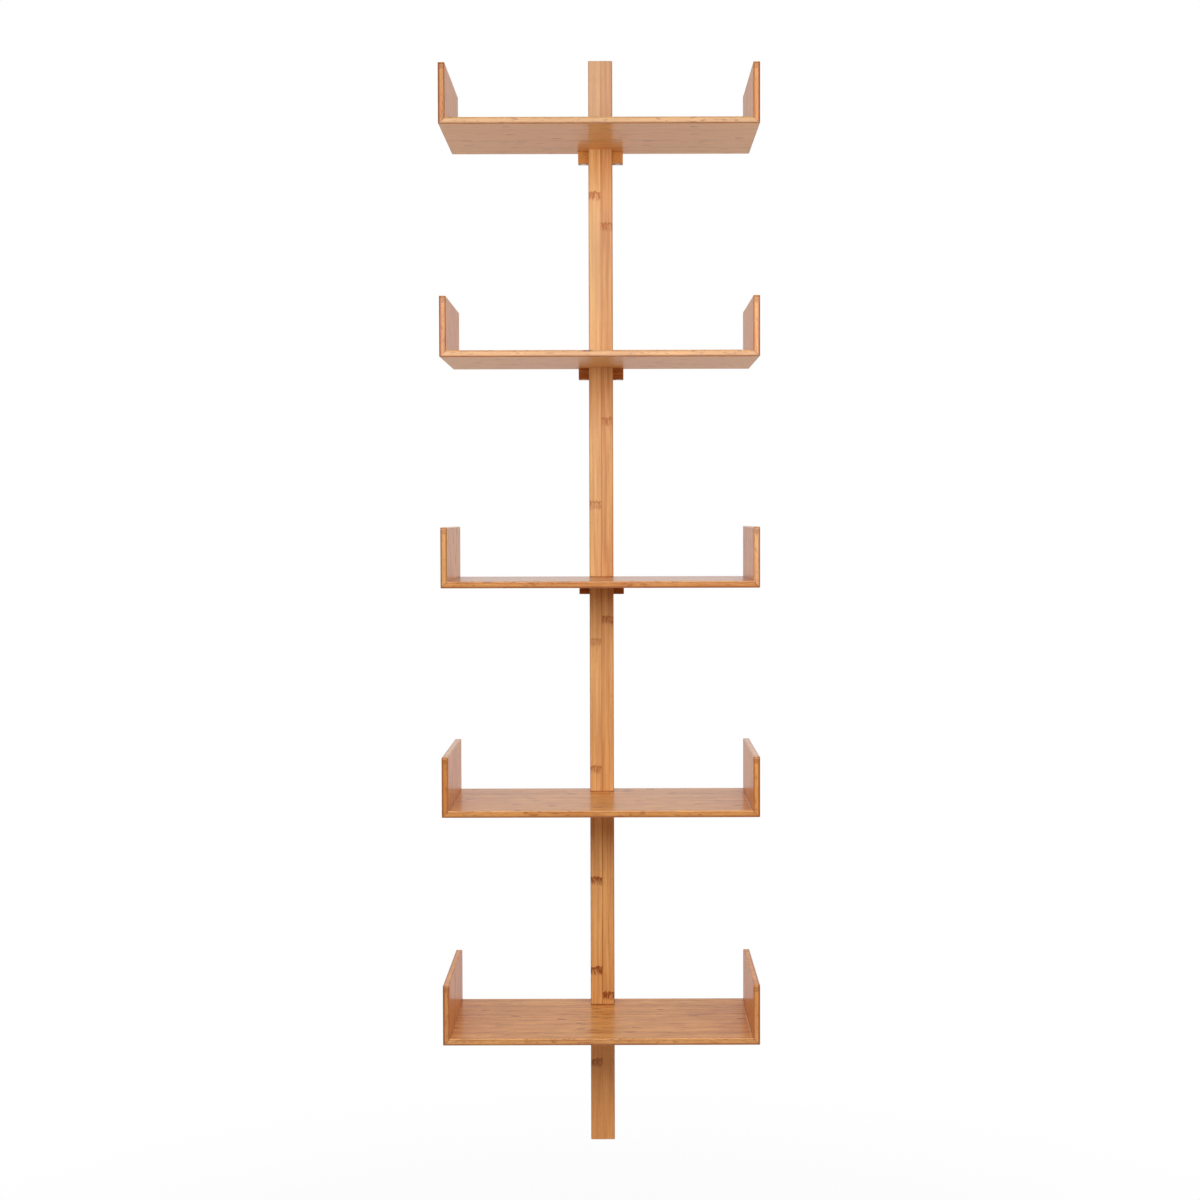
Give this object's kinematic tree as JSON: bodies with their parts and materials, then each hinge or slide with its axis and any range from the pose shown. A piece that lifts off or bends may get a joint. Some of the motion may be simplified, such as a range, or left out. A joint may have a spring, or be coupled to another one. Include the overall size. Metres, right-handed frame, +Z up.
{
  "type": "wall shelf",
  "caption": "Vertical wall-hung post carrying open U-shaped trays, each a notched board with two low mitred side panels, for books and small objects.",
  "frame": {"origin": "midway between the two keyhole plates, on the wall plane and on the post's centre line", "axes": "+X to the viewer's right along the boards, +Y into the wall, +Z up along the post"},
  "size_m": [0.4, 0.2, 1.4455],
  "materials": {
    "post_bamboo": "carbonised bamboo, satin clear varnish",
    "board_bamboo": "carbonised bamboo board, satin clear varnish",
    "panel_bamboo": "carbonised bamboo board, satin clear varnish",
    "block_bamboo": "dark carbonised bamboo, oiled",
    "tongue_ply": "raw thin plywood",
    "hanger_steel": "zinc plated, satin",
    "screw_zinc": "zinc plated"
  },
  "bodies": {
    "root": {"post": "post_bamboo", "board_1": "board_bamboo", "board_2": "board_bamboo", "board_3": "board_bamboo", "board_4": "board_bamboo", "board_5": "board_bamboo", "left_panel_1": "panel_bamboo", "left_panel_2": "panel_bamboo", "left_panel_3": "panel_bamboo", "left_panel_4": "panel_bamboo", "left_panel_5": "panel_bamboo", "right_panel_1": "panel_bamboo", "right_panel_2": "panel_bamboo", "right_panel_3": "panel_bamboo", "right_panel_4": "panel_bamboo", "right_panel_5": "panel_bamboo", "cross_block_1": "block_bamboo", "cross_block_2": "block_bamboo", "cross_block_3": "block_bamboo", "cross_block_4": "block_bamboo", "cross_block_5": "block_bamboo", "left_tongue_1": "tongue_ply", "left_tongue_2": "tongue_ply", "left_tongue_3": "tongue_ply", "left_tongue_4": "tongue_ply", "left_tongue_5": "tongue_ply", "right_tongue_1": "tongue_ply", "right_tongue_2": "tongue_ply", "right_tongue_3": "tongue_ply", "right_tongue_4": "tongue_ply", "right_tongue_5": "tongue_ply", "board_screws": "screw_zinc", "block_screws": "screw_zinc", "hanger_upper": "hanger_steel", "hanger_lower": "hanger_steel", "hanger_screws": "screw_zinc"}
  },
  "joints": []
}
